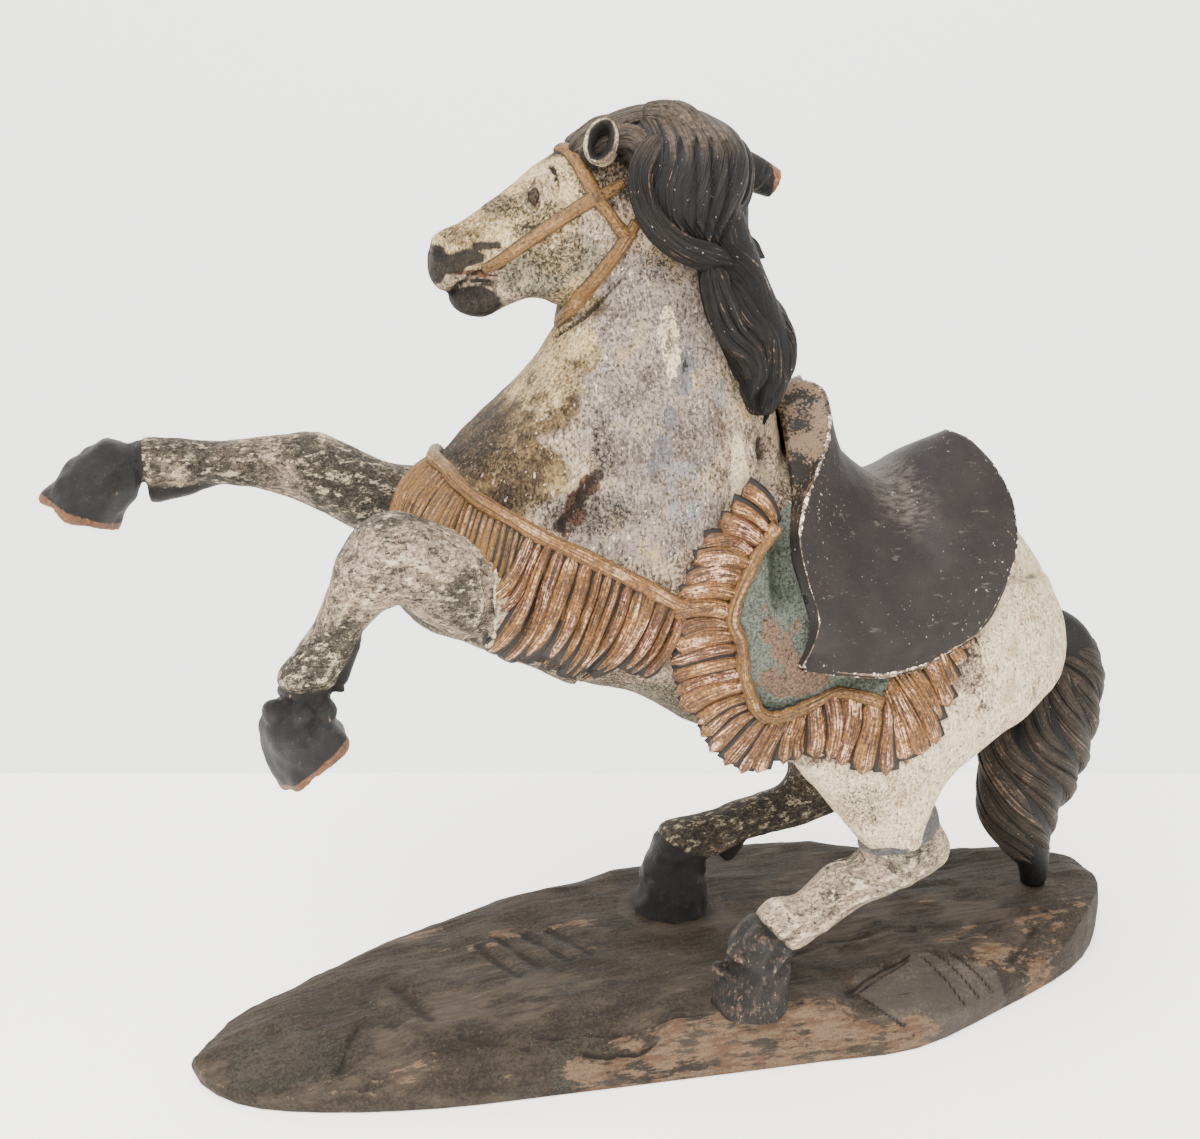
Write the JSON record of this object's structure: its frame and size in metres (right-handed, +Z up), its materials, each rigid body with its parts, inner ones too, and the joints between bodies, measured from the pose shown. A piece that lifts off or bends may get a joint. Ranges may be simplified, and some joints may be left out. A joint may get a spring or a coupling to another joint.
{
  "type": "folk art horse carving",
  "caption": "Rearing horse carved in wood and painted, with saddle, fringed cloth and breast collar, propped on its hind hooves and tail on a rough ground plinth.",
  "frame": {"origin": "on the plinth's flat underside, in the plane that halves the horse", "axes": "+X from the horse's head toward its tail, +Y toward its far side, +Z up"},
  "size_m": [0.4862, 0.1693, 0.4057],
  "materials": {
    "ground_paint": "painted, worn",
    "coat_paint": "painted, worn",
    "foreleg_paint": "painted, worn",
    "near_shank_paint": "painted, worn",
    "far_shank_paint": "painted, worn",
    "hair_paint": "painted, worn"
  },
  "bodies": {
    "root": {"base": "ground_paint", "horse_body": "coat_paint", "left_foreleg": "foreleg_paint", "right_foreleg": "foreleg_paint", "left_hind_shank": "near_shank_paint", "right_hind_shank": "far_shank_paint", "tail": "hair_paint"}
  },
  "joints": []
}
